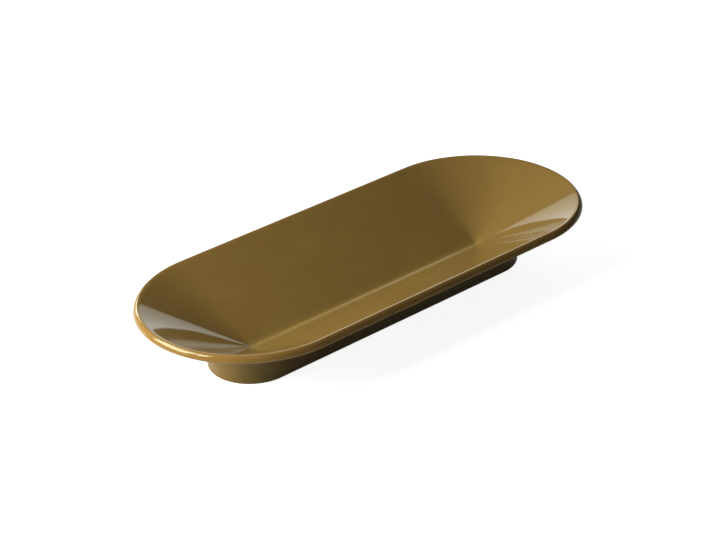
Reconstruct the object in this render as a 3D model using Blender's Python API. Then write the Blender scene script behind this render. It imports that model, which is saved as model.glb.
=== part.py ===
"""Long serving bowl in glazed stoneware, after a product photograph.

Two castings make it: a dish with a stadium-shaped plan, whose straight sloping walls run down to one soft
valley, and a foot ring of the same plan, stuck to the dish's underside with slip before the glaze firing.
Every outline is a line at a fixed distance from one spine, the straight segment between the centres of
the two round ends. So each casting is one profile, drawn as distance from the spine against height,
turned about the end of the spine and drawn along it. One quarter is built, and mirrored twice.

Frame: metres, +X along the bowl, +Z up, origin on the table under the middle of the foot ring.
"""

import math

import bmesh
import bpy
from mathutils import Vector

# Dish
LENGTH = 0.520  # over the lip, along X
WIDTH = 0.220  # over the lip, along Y
SLOPE = math.radians(26.8)  # of the wall, above the horizontal
WALL = 0.0085  # wall thickness
VALLEY_HEIGHT = 0.017  # table to the lowest point inside
VALLEY_RADIUS = 0.007  # inside radius along the valley
LIP_LEAN = math.radians(18.0)  # how far the lip's flat face looks up from the horizontal
LIP_CREST_RADIUS = 0.0027  # round from the inner face over the top to the lip's face
LIP_EDGE_RADIUS = 0.002  # round from the lip's face to the underside

# Foot ring
FOOT_WIDTH = 0.088  # over the ring, along Y
FOOT_WALL = 0.0085  # wall thickness at the standing rim
FOOT_DRAFT = math.radians(3.0)  # lean of the inner wall, which lets the mould go
RIM_EDGE_RADIUS = 0.0022  # rounded edges on each side of the flat standing rim
OUTER_FILLET = 0.005  # slip sponged into the corner outside the ring
INNER_FILLET = 0.003  # and inside it
FILLET_EDGE = 0.00045  # thickness at which a fillet stops, short of a feather edge
SLIP_JOINT = 0.0003  # gap between the two castings, filled by slip

# Facets
END_STEPS = 24  # in a quarter turn of a round end
CREST_STEPS = 10  # in the round over the top of the lip
LIP_EDGE_STEPS = 7  # in the round under the lip
VALLEY_STEPS = 5  # in each side of the valley
EDGE_STEPS = 4  # in each rounded edge or fillet of the foot ring
SHARP_ANGLE = math.radians(35.0)  # edges sharper than this stay crisp
MERGE = 1e-6  # points this near are one

SPINE_HALF = (LENGTH - WIDTH) / 2
VALLEY_CENTRE = Vector((0.0, VALLEY_HEIGHT + VALLEY_RADIUS))
INWARD = Vector((-math.sin(SLOPE), math.cos(SLOPE)))  # square to the wall, up into the bowl
INWARD_ANGLE = math.pi / 2 + SLOPE
INNER_FACE = VALLEY_CENTRE.dot(INWARD) - VALLEY_RADIUS  # how far along INWARD the wall's inner face lies
UNDERSIDE = INNER_FACE - WALL  # and its underside

GLAZE_COLOUR = (0.216, 0.130, 0.034, 1.0)
GLAZE_ROUGHNESS = 0.12


def arc(centre, radius, start, end, steps):
    """Points of a round, from one angle to another."""
    angles = [start + (end - start) * step / steps for step in range(steps + 1)]
    return [centre + radius * Vector((math.cos(a), math.sin(a))) for a in angles]


def on_wall_line(distance, level):
    """Point at a distance from the spine, on the line along the wall that lies at a level along INWARD."""
    return Vector((distance, (level - distance * INWARD.x) / INWARD.y))


def on_joint(distance):
    """Point of the slip joint's lower face at a distance from the spine."""
    return on_wall_line(distance, UNDERSIDE - SLIP_JOINT)


def lip():
    """End of the wall: a round over the top, a flat face that looks out and a little up, a round under it.

    The lower round touches the underside and reaches half the width. The flat face touches that round, and
    the upper round slides up the face until it touches the inner face too.
    """
    out_of_face = Vector((math.cos(LIP_LEAN), math.sin(LIP_LEAN)))
    up_face = Vector((-math.sin(LIP_LEAN), math.cos(LIP_LEAN)))
    edge_centre = on_wall_line(WIDTH / 2 - LIP_EDGE_RADIUS, UNDERSIDE + LIP_EDGE_RADIUS)
    beside_face = edge_centre + (LIP_EDGE_RADIUS - LIP_CREST_RADIUS) * out_of_face
    climb = (INNER_FACE - LIP_CREST_RADIUS - beside_face.dot(INWARD)) / up_face.dot(INWARD)
    crest_centre = beside_face + climb * up_face
    crest = arc(crest_centre, LIP_CREST_RADIUS, INWARD_ANGLE, LIP_LEAN, CREST_STEPS)
    edge = arc(edge_centre, LIP_EDGE_RADIUS, LIP_LEAN, INWARD_ANGLE - math.pi, LIP_EDGE_STEPS)
    return crest + edge


def dish_profile():
    """From the valley up the inner face, round the lip and back down the underside to the middle."""
    bottom = -math.pi / 2
    inner_valley = arc(VALLEY_CENTRE, VALLEY_RADIUS, bottom, bottom + SLOPE, VALLEY_STEPS)
    outer_valley = arc(VALLEY_CENTRE, VALLEY_RADIUS + WALL, bottom + SLOPE, bottom, VALLEY_STEPS)
    return inner_valley + lip() + outer_valley


def fillet(wall_distance, side, radius):
    """Round between the foot's wall and the joint, from the wall up, with its blunt edge on the joint.

    side is 1 where the round lies outside the ring and -1 where it lies inside. The round would touch the
    joint at INWARD_ANGLE, and stops short of it, where it is FILLET_EDGE thick.
    """
    centre_distance = wall_distance + side * radius
    centre = on_joint(centre_distance) - Vector((0.0, radius / INWARD.y))
    short_of_joint = math.acos(1 - FILLET_EDGE / radius)
    wall_angle = math.pi if side > 0 else 0.0
    last_angle = INWARD_ANGLE + side * short_of_joint
    points = arc(centre, radius, wall_angle, last_angle, EDGE_STEPS)
    edge = points[-1]
    to_joint = UNDERSIDE - SLIP_JOINT - edge.dot(INWARD)
    return points + [edge + to_joint * INWARD]


def foot_profile():
    """Closed outline of the ring: inner wall upwards, out along the joint, outer wall down, standing rim."""
    outer = FOOT_WIDTH / 2
    inner = outer - FOOT_WALL
    inner_at_joint = inner - on_joint(inner).y * math.tan(FOOT_DRAFT)
    inner_fillet = fillet(inner_at_joint, -1, INNER_FILLET)
    outer_fillet = fillet(outer, 1, OUTER_FILLET)
    rounds = []
    for distance, start in ((outer - RIM_EDGE_RADIUS, 0.0), (inner + RIM_EDGE_RADIUS, -math.pi / 2)):
        centre = Vector((distance, RIM_EDGE_RADIUS))
        rounds += arc(centre, RIM_EDGE_RADIUS, start, start - math.pi / 2, EDGE_STEPS)
    return inner_fillet + outer_fillet[::-1] + rounds


def quarter_along_spine(name, profile, closed):
    """Mesh of one quarter: the profile turned a quarter about the spine's end, then drawn to the middle."""
    mesh = bmesh.new()
    verts = [mesh.verts.new((SPINE_HALF + point.x, 0.0, point.y)) for point in profile]
    pairs = list(zip(verts, verts[1:]))
    if closed:
        pairs.append((verts[-1], verts[0]))
    edges = [mesh.edges.new(pair) for pair in pairs]
    turned = bmesh.ops.spin(
        mesh, geom=verts + edges, cent=(SPINE_HALF, 0.0, 0.0), axis=(0.0, 0.0, 1.0),
        angle=math.pi / 2, steps=END_STEPS, use_merge=False,
    )
    last_edges = [part for part in turned["geom_last"] if isinstance(part, bmesh.types.BMEdge)]
    drawn = bmesh.ops.extrude_edge_only(mesh, edges=last_edges)
    drawn_verts = [part for part in drawn["geom"] if isinstance(part, bmesh.types.BMVert)]
    bmesh.ops.translate(mesh, verts=drawn_verts, vec=(-SPINE_HALF, 0.0, 0.0))
    bmesh.ops.remove_doubles(mesh, verts=mesh.verts[:], dist=MERGE)
    data = bpy.data.meshes.new(name)
    mesh.to_mesh(data)
    mesh.free()
    return data


def casting(name, profile, closed, material):
    """One named piece: the quarter, mirrored across the bowl and along it, shaded smooth."""
    data = quarter_along_spine(name, profile, closed)
    data.materials.append(material)
    data.shade_smooth()
    data.set_sharp_from_angle(angle=SHARP_ANGLE)
    piece = bpy.data.objects.new(name, data)
    bpy.context.scene.collection.objects.link(piece)
    mirror = piece.modifiers.new("both_sides_and_ends", "MIRROR")
    mirror.use_axis = (True, True, False)
    mirror.merge_threshold = MERGE
    return piece


def glaze(name):
    """Glossy olive-brown glaze, fired over stoneware."""
    material = bpy.data.materials.new(name)
    material.use_nodes = True
    shader = material.node_tree.nodes["Principled BSDF"]
    shader.inputs["Base Color"].default_value = GLAZE_COLOUR
    shader.inputs["Roughness"].default_value = GLAZE_ROUGHNESS
    shader.inputs["Metallic"].default_value = 0.0
    return material


for leftover in list(bpy.data.objects):
    bpy.data.objects.remove(leftover, do_unlink=True)

bowl = bpy.data.objects.new("serving_bowl", None)
bpy.context.scene.collection.objects.link(bowl)
dish = casting("dish", dish_profile(), False, glaze("dish_glaze"))
foot_ring = casting("foot_ring", foot_profile(), True, glaze("foot_ring_glaze"))
for casting_piece in (dish, foot_ring):
    casting_piece.parent = bowl
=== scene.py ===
"""Looks of the long serving bowl: two stoneware castings under one glossy olive-brown glaze.

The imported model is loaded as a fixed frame. Each casting is drawn again as a fine smooth surface with its
glaze, and stands on a pale studio floor under soft light. Metres, +X along the bowl, +Z up.
"""

import math

import bmesh
import bpy
import numpy as np
from mathutils import Matrix, Vector


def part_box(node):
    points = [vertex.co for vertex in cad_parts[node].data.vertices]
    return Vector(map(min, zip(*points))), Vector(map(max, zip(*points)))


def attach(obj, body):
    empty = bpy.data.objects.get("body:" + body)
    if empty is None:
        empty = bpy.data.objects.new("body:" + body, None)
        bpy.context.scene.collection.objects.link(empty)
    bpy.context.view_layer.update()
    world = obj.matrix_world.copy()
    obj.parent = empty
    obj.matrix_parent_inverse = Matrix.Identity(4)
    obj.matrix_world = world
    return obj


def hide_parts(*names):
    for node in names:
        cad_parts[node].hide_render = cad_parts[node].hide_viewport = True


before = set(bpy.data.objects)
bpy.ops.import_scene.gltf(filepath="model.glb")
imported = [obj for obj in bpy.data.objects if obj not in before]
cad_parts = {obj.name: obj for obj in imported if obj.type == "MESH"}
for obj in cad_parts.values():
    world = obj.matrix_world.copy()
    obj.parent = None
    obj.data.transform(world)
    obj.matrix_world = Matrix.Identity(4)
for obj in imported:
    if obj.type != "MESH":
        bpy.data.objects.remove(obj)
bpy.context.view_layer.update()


# Dish: the bowl itself, slip-cast in stoneware in one piece. Its wall has one thickness, and runs straight
# from a narrow valley along the middle up to a thick lip, well rounded over the top and with a short flat
# face outside. Each end is half a cone about the valley's end.

dish_low, dish_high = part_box("dish")
LENGTH = dish_high.x - dish_low.x
WIDTH = dish_high.y - dish_low.y
SPINE_HALF = (LENGTH - WIDTH) / 2
SLOPE = math.radians(26.8)
WALL = 0.0085
VALLEY_RADIUS = 0.007
VALLEY_CENTRE = np.array([0.0, dish_low.z + WALL + VALLEY_RADIUS])

# INWARD is square to the wall, up into the bowl. The wall's two faces lie at levels along it.
INWARD_ANGLE = math.pi / 2 + SLOPE
INWARD = np.array([math.cos(INWARD_ANGLE), math.sin(INWARD_ANGLE)])
INNER_FACE = VALLEY_CENTRE @ INWARD - VALLEY_RADIUS
UNDERSIDE = INNER_FACE - WALL

# Angles at the lip are those of its outward normal: 0 is level and outward, 90 degrees is straight up.
LIP_LEAN = math.radians(24.0)
SHOULDER_RADIUS = 0.012
SHOULDER_END = math.radians(102.0)
CREST_RADIUS = 0.0016
CREST_END = math.radians(62.0)
BROW_RADIUS = 0.006
LIP_EDGE_RADIUS = 0.0022
LIP_GLAZE_COAT = 0.0004
LIP_REACH = WIDTH / 2 + LIP_GLAZE_COAT

END_STEPS = 128
SIDE_STEPS = 72
VALLEY_STEPS = 12
WALL_STEPS = 48
SHOULDER_STEPS = 8
CREST_STEPS = 10
BROW_STEPS = 14
LIP_FACE_STEPS = 4
LIP_EDGE_STEPS = 16
WELD = 1e-6


def arc(centre, radius, start, end, steps):
    """Points of a round: the centre plus the radius along an angle that runs evenly from start to end."""
    angle = np.linspace(start, end, steps + 1)
    return centre + radius * np.stack([np.cos(angle), np.sin(angle)], axis=1)


def straight(start, end, steps):
    """Points strictly between two ends, evenly spaced along the line."""
    share = np.arange(1, steps)[:, None] / steps
    return start + share * (end - start)


def on_wall_line(distance, level):
    """Point at a distance from the spine, on the line along the wall that lies at a level along INWARD."""
    return np.array([distance, (level - distance * INWARD[0]) / INWARD[1]])


def heading(angle):
    """Unit step along an angle: its cosine, then its sine."""
    return np.array([math.cos(angle), math.sin(angle)])


def lip_rounds():
    """Rounds over the top of the lip and under it, with the lip's flat face between them.

    The lower round touches the underside and reaches out to LIP_REACH. Over the top, a wide soft shoulder, a
    tight crest and a full brow run on from one another, tangent. They slide up the line of the flat face,
    which leans back by LIP_LEAN, until the shoulder touches the inner face.
    """
    up_face = heading(LIP_LEAN + math.pi / 2)
    edge_centre = on_wall_line(LIP_REACH - LIP_EDGE_RADIUS, UNDERSIDE + LIP_EDGE_RADIUS)
    beside_face = edge_centre + (LIP_EDGE_RADIUS - BROW_RADIUS) * heading(LIP_LEAN)
    brow_to_crest = (BROW_RADIUS - CREST_RADIUS) * heading(CREST_END)
    crest_to_shoulder = (CREST_RADIUS - SHOULDER_RADIUS) * heading(SHOULDER_END)
    below_shoulder = beside_face + brow_to_crest + crest_to_shoulder
    climb = (INNER_FACE - SHOULDER_RADIUS - below_shoulder @ INWARD) / (up_face @ INWARD)
    brow_centre = beside_face + climb * up_face
    crest_centre = brow_centre + brow_to_crest
    shoulder_centre = crest_centre + crest_to_shoulder
    shoulder = arc(shoulder_centre, SHOULDER_RADIUS, INWARD_ANGLE, SHOULDER_END, SHOULDER_STEPS)
    crest = arc(crest_centre, CREST_RADIUS, SHOULDER_END, CREST_END, CREST_STEPS)
    brow = arc(brow_centre, BROW_RADIUS, CREST_END, LIP_LEAN, BROW_STEPS)
    edge = arc(edge_centre, LIP_EDGE_RADIUS, LIP_LEAN, INWARD_ANGLE - math.pi, LIP_EDGE_STEPS)
    return np.concatenate([shoulder[:-1], crest[:-1], brow]), edge


def dish_profile():
    """Distance from the spine against height: up the inner face, round the lip, down the underside."""
    bottom = -math.pi / 2
    valley = arc(VALLEY_CENTRE, VALLEY_RADIUS, bottom, bottom + SLOPE, VALLEY_STEPS)
    keel = arc(VALLEY_CENTRE, VALLEY_RADIUS + WALL, bottom + SLOPE, bottom, VALLEY_STEPS)
    top, edge = lip_rounds()
    return np.concatenate([
        valley,
        straight(valley[-1], top[0], WALL_STEPS),
        top,
        straight(top[-1], edge[0], LIP_FACE_STEPS),
        edge,
        straight(edge[-1], keel[0], WALL_STEPS),
        keel,
    ])


def stadium_path():
    """Spine point and outward angle round the plan: each end turns half a turn, each side runs straight."""
    turn = np.linspace(-math.pi / 2, math.pi / 2, END_STEPS + 1)
    side = np.linspace(SPINE_HALF, -SPINE_HALF, SIDE_STEPS + 1)[1:-1]
    at_end = np.full(END_STEPS + 1, SPINE_HALF)
    square = np.full(SIDE_STEPS - 1, math.pi / 2)
    spine_x = np.concatenate([at_end, side, -at_end, -side])
    angle = np.concatenate([turn, square, turn + math.pi, square + math.pi])
    return spine_x, angle


def swept_points(profile):
    """Grid of points: the spine point plus the profile's distance along the outward angle, at its height."""
    spine_x, angle = stadium_path()
    distance, height = profile[:, 0:1], profile[:, 1:2]
    x = spine_x + distance * np.cos(angle)
    y = distance * np.sin(angle)
    return np.stack(np.broadcast_arrays(x, y, height), axis=-1)


WAVE_HEIGHT = 0.00002
WAVE_LENGTH = 0.048
WAVE_HEADINGS = np.radians([17.0, 76.0, 139.0])
WAVE_STARTS = np.array([0.4, 2.1, 4.4])


def fired_waves(points):
    """The same grid, raised a little by slow waves that drying and firing leave in a cast wall.

    The rise is the sum of three sine waves of one length, on three headings across the plan.
    """
    along = points[..., 0:1] * np.cos(WAVE_HEADINGS) + points[..., 1:2] * np.sin(WAVE_HEADINGS)
    waves = np.sin(2 * math.pi * along / WAVE_LENGTH + WAVE_STARTS)
    raised = points.copy()
    raised[..., 2] += WAVE_HEIGHT * waves.sum(axis=-1)
    return raised


def swept_piece(name, points, closed):
    """One closed surface from a grid of points: rows along the profile, columns round the plan.

    Each cell is a quad whose corners go up the profile first, so that its face points out of the clay. The
    columns always join up, and the rows do where the profile is closed. Points that meet are welded.
    """
    rows, columns = points.shape[:2]
    row = np.arange(rows if closed else rows - 1)[:, None]
    column = np.arange(columns)[None, :]
    next_row = (row + 1) % rows
    next_column = (column + 1) % columns
    corners = [
        row * columns + column,
        next_row * columns + column,
        next_row * columns + next_column,
        row * columns + next_column,
    ]
    faces = np.stack(corners, axis=-1).reshape(-1, 4)
    mesh = bpy.data.meshes.new(name)
    mesh.from_pydata(points.reshape(-1, 3), [], faces)
    welded = bmesh.new()
    welded.from_mesh(mesh)
    bmesh.ops.remove_doubles(welded, verts=welded.verts[:], dist=WELD)
    welded.to_mesh(mesh)
    welded.free()
    mesh.shade_smooth()
    piece = bpy.data.objects.new(name, mesh)
    bpy.context.scene.collection.objects.link(piece)
    return piece


POOL_AND_HIGHLIGHT_REACH = 0.005
DRAIN_REACH = 0.005
USUAL_THICKNESS = 0.5


def lay_glaze(piece):
    """Writes on each point how thick the glaze lies: usual over the walls, 1 at the valley, 0 at the lip.

    Each change is a bell curve of the distance from the spine, centred on the valley or on the lip's edge.
    The valley's bell also sets a painted highlight: the paler colour that brightens the crease line.
    """
    places = np.empty(len(piece.data.vertices) * 3)
    piece.data.vertices.foreach_get("co", places)
    x, y = places[0::3], places[1::3]
    distance = np.hypot(np.maximum(np.abs(x) - SPINE_HALF, 0.0), y)
    # Thick glaze in the valley; the paler colour this gives there is a painted highlight along the crease.
    pooled_and_painted_highlight = np.exp(-((distance / POOL_AND_HIGHLIGHT_REACH) ** 2))
    drained = np.exp(-(((WIDTH / 2 - distance) / DRAIN_REACH) ** 2))
    laid = USUAL_THICKNESS + (1 - USUAL_THICKNESS) * pooled_and_painted_highlight - USUAL_THICKNESS * drained
    layer_and_highlight = piece.data.attributes.new("glaze_layer_and_highlight", "FLOAT", "POINT")
    layer_and_highlight.data.foreach_set("value", laid)


def linear(hex_colour):
    """sRGB hex to linear red, green, blue and full alpha."""
    srgb = np.array([int(hex_colour[i:i + 2], 16) for i in (1, 3, 5)]) / 255
    value = np.where(srgb <= 0.04045, srgb / 12.92, ((srgb + 0.055) / 1.055) ** 2.4)
    return (*value.tolist(), 1.0)


def add_node(tree, kind, inputs=None, **settings):
    """One shader node: settings are its own properties, inputs are socket values or the sockets to link."""
    node = tree.nodes.new(kind)
    for name, value in settings.items():
        setattr(node, name, value)
    for name, value in (inputs or {}).items():
        if isinstance(value, bpy.types.NodeSocket):
            tree.links.new(value, node.inputs[name])
        else:
            node.inputs[name].default_value = value
    return node


GLAZE_THIN = "#8d6c35"
GLAZE = "#846935"
# Paler tone along the valley: a painted highlight that brightens the crease line.
GLAZE_VALLEY_PAINTED_HIGHLIGHT = "#90763a"
GLAZE_SHINE = "#eefbd0"
GLASS_IOR = 1.5
SMOOTHEST = 0.06
ROUGHEST = 0.09
CLOUD_SIZE = 0.045
CLOUD_DRIFT = 0.15
RIPPLE_SIZE = 0.009
RIPPLE_HEIGHT = 0.00002

# Nearly all values of a noise texture lie between these two.
NOISE_LOW = 0.3
NOISE_HIGH = 0.7


def stoneware_glaze(name):
    """Olive-brown glass over clay: a clear shine on a deep colour.

    The colour is warmer where the glaze lies thin at the lip. Along the valley, where it lies thick, the
    colour is
    paler: a painted highlight that brightens the crease line. Faint soft clouds lie between. The shine has
    the faint green of glass with iron in it, and is hardly broken by the slight ripple of fired glass.
    ripple of fired glass.
    """
    material = bpy.data.materials.new(name)
    material.use_nodes = True
    tree = material.node_tree
    place = add_node(tree, "ShaderNodeTexCoord").outputs["Object"]
    laid = add_node(tree, "ShaderNodeAttribute", attribute_name="glaze_layer_and_highlight").outputs["Fac"]
    cloud = add_node(tree, "ShaderNodeTexNoise", {"Vector": place, "Scale": 1 / CLOUD_SIZE, "Detail": 3.0})
    drift = add_node(tree, "ShaderNodeMapRange", {
        "Value": cloud.outputs["Fac"], "From Min": NOISE_LOW, "From Max": NOISE_HIGH,
        "To Min": -CLOUD_DRIFT, "To Max": CLOUD_DRIFT,
    })
    layer_and_highlight = add_node(tree, "ShaderNodeMath", {0: laid, 1: drift.outputs["Result"]}, operation="ADD")
    colour = add_node(tree, "ShaderNodeValToRGB", {"Fac": layer_and_highlight.outputs["Value"]})
    stops = colour.color_ramp.elements
    stops[0].color = linear(GLAZE_THIN)
    # Paler valley tone at the thick end of the ramp: a painted highlight along the crease.
    stops[1].color = linear(GLAZE_VALLEY_PAINTED_HIGHLIGHT)
    stops.new(USUAL_THICKNESS).color = linear(GLAZE)
    gloss = add_node(tree, "ShaderNodeMapRange", {
        "Value": cloud.outputs["Fac"], "From Min": NOISE_LOW, "From Max": NOISE_HIGH,
        "To Min": SMOOTHEST, "To Max": ROUGHEST,
    })
    ripple = add_node(tree, "ShaderNodeTexNoise", {"Vector": place, "Scale": 1 / RIPPLE_SIZE, "Detail": 1.0})
    surface = add_node(tree, "ShaderNodeBump", {
        "Height": ripple.outputs["Fac"], "Strength": 0.8, "Distance": RIPPLE_HEIGHT,
    })
    shader = tree.nodes["Principled BSDF"]
    shader.inputs["IOR"].default_value = GLASS_IOR
    shader.inputs["Specular Tint"].default_value = linear(GLAZE_SHINE)
    tree.links.new(colour.outputs["Color"], shader.inputs["Base Color"])
    tree.links.new(gloss.outputs["Result"], shader.inputs["Roughness"])
    tree.links.new(surface.outputs["Normal"], shader.inputs["Normal"])
    return material


dish = swept_piece("glazed_dish", fired_waves(swept_points(dish_profile())), closed=False)
lay_glaze(dish)
dish.data.materials.append(stoneware_glaze("olive_brown_stoneware_glaze"))
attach(dish, "root")
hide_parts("dish")


# Foot ring: a second casting of the same plan, stuck under the dish with slip. Its walls are upright, with a
# little draft inside, and the glaze runs smoothly over both corners where it meets the dish. The flat rim it
# stands on was wiped clean before firing, so the buff clay shows there.

FOOT_WIDTH = 0.088
FOOT_WALL = 0.0085
FOOT_OUTER = FOOT_WIDTH / 2
FOOT_INNER = FOOT_OUTER - FOOT_WALL
FOOT_DRAFT = math.radians(3.0)
RIM_EDGE_RADIUS = 0.0022
OUTER_FILLET = 0.005
INNER_FILLET = 0.003
FOOT_WALL_STEPS = 12
FOOT_EDGE_STEPS = 10
SUNK_IN_DISH = 0.00015


def on_underside(distance):
    """Point on the dish's sloping underside at a distance from the spine, just inside the clay."""
    return on_wall_line(distance, UNDERSIDE + SUNK_IN_DISH)


def underside_fillet(wall_distance, side, radius):
    """Round from the foot's wall up to the dish, tangent to both; side is 1 outside the ring, -1 inside."""
    centre = on_underside(wall_distance + side * radius) - np.array([0.0, radius / INWARD[1]])
    return arc(centre, radius, math.pi if side > 0 else 0.0, INWARD_ANGLE, FOOT_EDGE_STEPS)


def foot_profile():
    """Closed outline: inner wall up, out along the dish's underside, outer wall down, in along the rim."""
    inner_at_dish = FOOT_INNER - on_underside(FOOT_INNER)[1] * math.tan(FOOT_DRAFT)
    inner_fillet = underside_fillet(inner_at_dish, -1, INNER_FILLET)
    outer_fillet = underside_fillet(FOOT_OUTER, 1, OUTER_FILLET)[::-1]
    outer_centre = np.array([FOOT_OUTER - RIM_EDGE_RADIUS, RIM_EDGE_RADIUS])
    inner_centre = np.array([FOOT_INNER + RIM_EDGE_RADIUS, RIM_EDGE_RADIUS])
    outer_edge = arc(outer_centre, RIM_EDGE_RADIUS, 0.0, -math.pi / 2, FOOT_EDGE_STEPS)
    inner_edge = arc(inner_centre, RIM_EDGE_RADIUS, -math.pi / 2, -math.pi, FOOT_EDGE_STEPS)
    return np.concatenate([
        inner_fillet,
        straight(inner_fillet[-1], outer_fillet[0], FOOT_WALL_STEPS),
        outer_fillet,
        straight(outer_fillet[-1], outer_edge[0], FOOT_WALL_STEPS),
        outer_edge,
        straight(outer_edge[-1], inner_edge[0], FOOT_WALL_STEPS),
        inner_edge,
        straight(inner_edge[-1], inner_fillet[0], FOOT_WALL_STEPS),
    ])


BARE_CLAY = "#b49a78"
WIPED_HEIGHT = 0.00045
WIPE_WANDER = 0.00025
GRIT_SIZE = 0.0012
GRIT_HEIGHT = 0.0001


def glaze_wiped_from_rim(material):
    """Shows bare, matt, slightly gritty buff clay below a wiped line that wanders a little up and down."""
    tree = material.node_tree
    place = add_node(tree, "ShaderNodeTexCoord").outputs["Object"]
    height = add_node(tree, "ShaderNodeSeparateXYZ", {"Vector": place}).outputs["Z"]
    wander = add_node(tree, "ShaderNodeTexNoise", {"Vector": place, "Scale": 1 / CLOUD_SIZE, "Detail": 2.0})
    line = add_node(tree, "ShaderNodeMapRange", {
        "Value": wander.outputs["Fac"], "From Min": NOISE_LOW, "From Max": NOISE_HIGH,
        "To Min": WIPED_HEIGHT - WIPE_WANDER, "To Max": WIPED_HEIGHT + WIPE_WANDER,
    })
    bare = add_node(tree, "ShaderNodeMath", {0: height, 1: line.outputs["Result"]}, operation="LESS_THAN")
    grit = add_node(tree, "ShaderNodeTexNoise", {"Vector": place, "Scale": 1 / GRIT_SIZE, "Detail": 2.0})
    surface = add_node(tree, "ShaderNodeBump", {
        "Height": grit.outputs["Fac"], "Strength": 0.6, "Distance": GRIT_HEIGHT,
    })
    clay = add_node(tree, "ShaderNodeBsdfPrincipled", {
        "Base Color": linear(BARE_CLAY), "Roughness": 0.85, "Normal": surface.outputs["Normal"],
    })
    glaze = tree.nodes["Principled BSDF"]
    coat = add_node(tree, "ShaderNodeMixShader", {
        "Fac": bare.outputs["Value"], 1: glaze.outputs["BSDF"], 2: clay.outputs["BSDF"],
    })
    tree.links.new(coat.outputs["Shader"], tree.nodes["Material Output"].inputs["Surface"])


foot_ring = swept_piece("glazed_foot_ring", swept_points(foot_profile()), closed=True)
lay_glaze(foot_ring)
foot_glaze = stoneware_glaze("olive_brown_foot_glaze")
glaze_wiped_from_rim(foot_glaze)
foot_ring.data.materials.append(foot_glaze)
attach(foot_ring, "root")
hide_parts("foot_ring")


# Camera: a long lens from the front left, looking down at the bowl as in the photograph.

LENS = 105.4
SENSOR_WIDTH = 36.0
CAMERA_AZIMUTH = math.radians(-40.89)
CAMERA_ELEVATION = math.radians(28.21)
CAMERA_ROLL = math.radians(-1.81)
CAMERA_DISTANCE = 2.1065
BOWL_RIGHT_OF_CENTRE = 0.01064
BOWL_ABOVE_CENTRE = -0.03785

to_camera = Vector((
    math.sin(CAMERA_AZIMUTH) * math.cos(CAMERA_ELEVATION),
    -math.cos(CAMERA_AZIMUTH) * math.cos(CAMERA_ELEVATION),
    math.sin(CAMERA_ELEVATION),
))
level_right = Vector((math.cos(CAMERA_AZIMUTH), math.sin(CAMERA_AZIMUTH), 0.0))
level_up = to_camera.cross(level_right)
picture_right = math.cos(CAMERA_ROLL) * level_right + math.sin(CAMERA_ROLL) * level_up
picture_up = to_camera.cross(picture_right)

camera_data = bpy.data.cameras.new("camera")
camera_data.sensor_width = SENSOR_WIDTH
camera_data.lens = LENS
camera = bpy.data.objects.new("camera", camera_data)
axes = Matrix((picture_right, picture_up, to_camera)).transposed()
camera.matrix_world = axes.to_4x4()
camera.location = (
    CAMERA_DISTANCE * to_camera - BOWL_RIGHT_OF_CENTRE * picture_right - BOWL_ABOVE_CENTRE * picture_up
)
bpy.context.scene.collection.objects.link(camera)
bpy.context.scene.camera = camera


# Studio: a pale floor that the camera sees as white, a half-round white reflector standing on it behind the
# bowl, three softboxes from the left end round to the back, and a dim room.

FLOOR_SIZE = 12.0
FLOOR_COLOUR = "#c8c8c8"
FLOOR_LIFT = "#f4f4f4"
LIFT_IN_GLAZE = 0.12


def pale_floor_paint(name):
    """Matt pale paint that keeps only the bowl's soft shadow.

    A lift, added for the camera, makes it white there. The glaze mirrors a small share of the same lift.
    """
    material = bpy.data.materials.new(name)
    material.use_nodes = True
    tree = material.node_tree
    ray = add_node(tree, "ShaderNodeLightPath")
    lift = add_node(tree, "ShaderNodeMath", {
        0: ray.outputs["Is Glossy Ray"], 1: LIFT_IN_GLAZE, 2: ray.outputs["Is Camera Ray"],
    }, operation="MULTIPLY_ADD")
    shader = tree.nodes["Principled BSDF"]
    shader.inputs["Base Color"].default_value = linear(FLOOR_COLOUR)
    shader.inputs["Roughness"].default_value = 0.9
    shader.inputs["Specular IOR Level"].default_value = 0.0
    shader.inputs["Emission Color"].default_value = linear(FLOOR_LIFT)
    tree.links.new(lift.outputs["Value"], shader.inputs["Emission Strength"])
    return material


half = FLOOR_SIZE / 2
corners = [(-half, -half, 0), (half, -half, 0), (half, half, 0), (-half, half, 0)]
floor_mesh = bpy.data.meshes.new("floor")
floor_mesh.from_pydata(corners, [], [(0, 1, 2, 3)])
floor_mesh.materials.append(pale_floor_paint("pale_floor_paint"))
floor = bpy.data.objects.new("floor", floor_mesh)
bpy.context.scene.collection.objects.link(floor)

REFLECTOR_RADIUS = 0.79
REFLECTOR_DISTANCE = 1.5
REFLECTOR_STEPS = 64
GLOW_AT_FLOOR = 1.65
GLOW_AT_TOP = 1.25


def white_reflector_cloth(name):
    """White cloth, lit from in front: a plain glow that fades a little from the floor to the top."""
    material = bpy.data.materials.new(name)
    material.use_nodes = True
    tree = material.node_tree
    place = add_node(tree, "ShaderNodeTexCoord").outputs["Object"]
    height = add_node(tree, "ShaderNodeSeparateXYZ", {"Vector": place}).outputs["Z"]
    falloff = add_node(tree, "ShaderNodeMapRange", {
        "Value": height, "From Max": REFLECTOR_RADIUS, "To Min": GLOW_AT_FLOOR, "To Max": GLOW_AT_TOP,
    })
    glow = add_node(tree, "ShaderNodeEmission", {"Strength": falloff.outputs["Result"]})
    tree.links.new(glow.outputs["Emission"], tree.nodes["Material Output"].inputs["Surface"])
    return material


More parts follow.
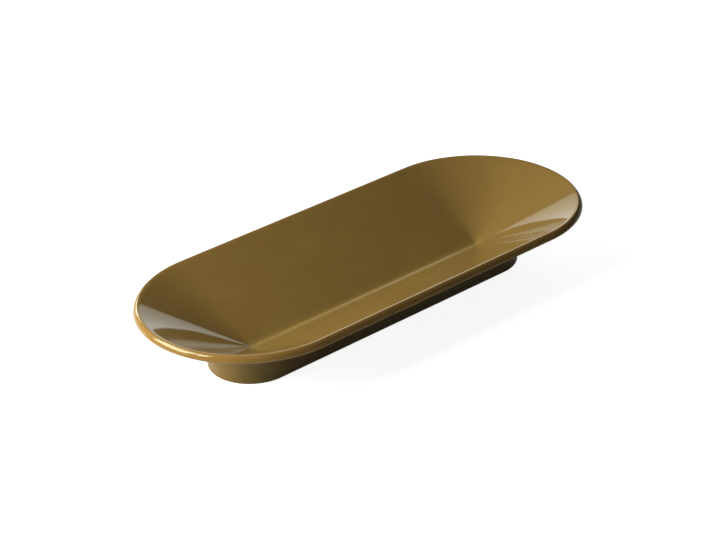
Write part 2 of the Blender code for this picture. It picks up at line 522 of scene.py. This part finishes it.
behind = Vector((-to_camera.x, -to_camera.y, 0.0)).normalized()
across = Vector((behind.y, -behind.x, 0.0))
rim = arc(np.zeros(2), REFLECTOR_RADIUS, 0.0, math.pi, REFLECTOR_STEPS)
rim_points = [point[0] * across + Vector((0, 0, point[1])) for point in rim]
reflector_mesh = bpy.data.meshes.new("reflector")
reflector_mesh.from_pydata(rim_points, [], [range(len(rim))])
reflector_mesh.materials.append(white_reflector_cloth("white_reflector_cloth"))
reflector = bpy.data.objects.new("reflector", reflector_mesh)
reflector.location = REFLECTOR_DISTANCE * behind
reflector.visible_camera = False
bpy.context.scene.collection.objects.link(reflector)


def softbox(name, azimuth, elevation, distance, size, radiance):
    """A flat lamp that faces the bowl's middle; its power is its radiance times pi times its area.

    Azimuth and elevation are in degrees, seen from the bowl: azimuth runs from +X towards +Y.
    """
    around = math.radians(azimuth)
    above = math.radians(elevation)
    lamp_data = bpy.data.lights.new(name, "AREA")
    lamp_data.shape = "RECTANGLE"
    lamp_data.size, lamp_data.size_y = size
    lamp_data.energy = radiance * math.pi * size[0] * size[1]
    lamp = bpy.data.objects.new(name, lamp_data)
    to_lamp = Vector((
        math.cos(above) * math.cos(around),
        math.cos(above) * math.sin(around),
        math.sin(above),
    ))
    lamp.location = distance * to_lamp
    lamp.rotation_euler = to_lamp.to_track_quat("Z", "Y").to_euler()
    lamp.visible_camera = False
    bpy.context.scene.collection.objects.link(lamp)


softbox("key_softbox", azimuth=152.5, elevation=30.5, distance=1.43, size=(0.9, 0.85), radiance=12.9)
softbox("strip_softbox", azimuth=181.0, elevation=37.0, distance=1.43, size=(0.2, 0.55), radiance=15.5)
softbox("back_softbox", azimuth=87.0, elevation=22.0, distance=1.5, size=(0.58, 0.58), radiance=6.5)

ROOM_LIGHT = 0.06

world = bpy.data.worlds.new("studio")
world.use_nodes = True
tree = world.node_tree
ray = add_node(tree, "ShaderNodeLightPath")
room = add_node(tree, "ShaderNodeBackground", {"Color": (1, 1, 1, 1), "Strength": ROOM_LIGHT})
white = add_node(tree, "ShaderNodeBackground", {"Color": (1, 1, 1, 1), "Strength": 1.0})
seen = add_node(tree, "ShaderNodeMixShader", {
    "Fac": ray.outputs["Is Camera Ray"], 1: room.outputs["Background"], 2: white.outputs["Background"],
})
tree.links.new(seen.outputs["Shader"], tree.nodes["World Output"].inputs["Surface"])
bpy.context.scene.world = world

bpy.context.scene.view_settings.view_transform = "Standard"
